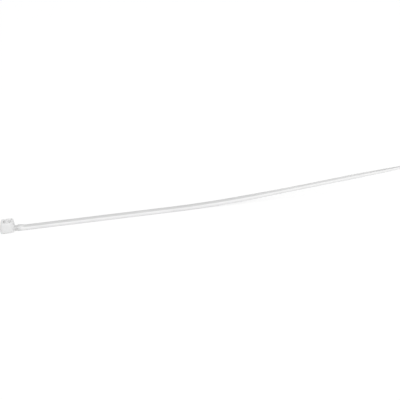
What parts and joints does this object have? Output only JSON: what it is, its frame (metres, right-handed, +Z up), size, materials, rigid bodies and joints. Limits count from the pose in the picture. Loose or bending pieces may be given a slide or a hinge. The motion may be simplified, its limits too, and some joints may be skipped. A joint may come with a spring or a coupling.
{
  "type": "cable tie",
  "caption": "One-piece nylon cable tie: a strap serrated on its underside, a plain tapered tail with grip ribs, and a box-shaped locking head with slot and pawl.",
  "frame": {"origin": "centre of the resting tie's box, on the surface it lies on", "axes": "+X from the head along the strap to the tip; +Z up, out of the head's exit face; +Y across the strap"},
  "size_m": [0.1244, 0.0046, 0.0055],
  "materials": {
    "nylon": "natural milky nylon, smooth satin as moulded"
  },
  "bodies": {
    "root": {"cable_tie": "nylon"}
  },
  "joints": []
}
